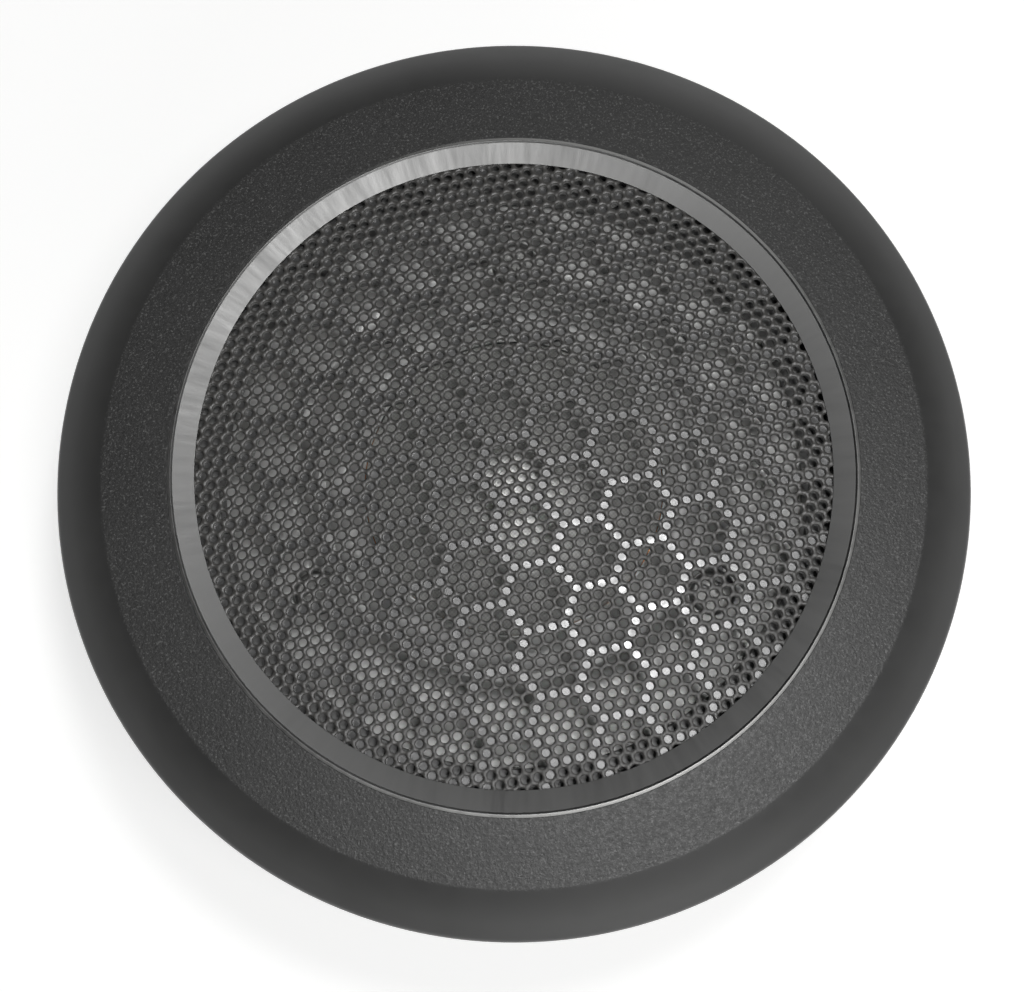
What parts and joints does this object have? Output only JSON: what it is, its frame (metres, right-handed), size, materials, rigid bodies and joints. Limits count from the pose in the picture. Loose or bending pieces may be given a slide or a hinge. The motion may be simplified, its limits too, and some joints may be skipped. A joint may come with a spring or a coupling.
{
  "type": "car tweeter",
  "caption": "Round flush-mounted car tweeter: wide textured bezel, satin trim ring, flat perforated grille over a dome driver, and a sealed rear housing with a recessed socket.",
  "frame": {"origin": "centre of the spigot where it meets the back of the flange, which seats on the panel", "axes": "+Z along the tweeter's axis out of the grille, towards the listener; +X and -X carry the solder tabs and the two leads; the socket's long side runs along X"},
  "size_m": [0.0742, 0.0742, 0.0342],
  "materials": {
    "textured_plastic": "fine grained black ABS, smooth on the rim",
    "satin_trim": "dark satin metallised plastic, faint radial marks",
    "grille_coat": "dark warm-grey satin coat",
    "rib_plastic": "glossy black",
    "foam": "closed-cell foam",
    "grey_plastic": "light satin grey",
    "grey_screws": "grey phosphate",
    "zinc_screws": "zinc plated",
    "dome_film": "pale coated dome",
    "surround_film": "light matte film",
    "former": "bare aluminium foil",
    "copper": "enamelled copper wire",
    "brass_terminal": "tinned brass",
    "zinc_steel": "zinc plated steel",
    "magnet": "nickel plated neodymium",
    "felt": "wool felt",
    "wire_red": "red insulation",
    "wire_black": "black insulation",
    "board": "green laminate",
    "capacitor_sleeve": "dark blue sleeve",
    "tinned_wire": "tinned",
    "housing_plastic": "satin black",
    "spring_steel": "bare spring steel"
  },
  "bodies": {
    "housing": {"bezel": "textured_plastic", "trim_ring": "satin_trim", "grille": "grille_coat", "grille_ribs": "rib_plastic", "driver_gasket": "foam", "faceplate": "grey_plastic", "faceplate_screws": "grey_screws", "driver_screws": "zinc_screws", "surround": "surround_film", "coil_lead_outs": "copper", "diaphragm_ring": "grey_plastic", "solder_tabs": "brass_terminal", "top_plate": "zinc_steel", "magnet": "magnet", "yoke": "zinc_steel", "copper_cap": "copper", "dome_damping_pad": "felt", "vent_felt": "felt", "lead_positive": "wire_red", "lead_negative": "wire_black", "terminal_board": "board", "terminal_positive": "brass_terminal", "terminal_negative": "brass_terminal", "capacitor": "capacitor_sleeve", "capacitor_leads": "tinned_wire", "rear_housing": "housing_plastic", "rear_gasket": "foam", "rear_cover": "housing_plastic", "cover_screws": "zinc_screws", "retaining_clips": "spring_steel", "panel_gasket": "foam"},
    "diaphragm": {"dome": "dome_film", "voice_coil_former": "former", "voice_coil": "copper"}
  },
  "joints": [
    {"name": "diaphragm_stroke", "type": "slide", "parent": "housing", "child": "diaphragm", "axis": [0, 0, 1], "range_m": [-0.0004, 0.0004], "stiffness_N_per_m": 200, "deforming": ["surround", "coil_lead_outs"]}
  ]
}
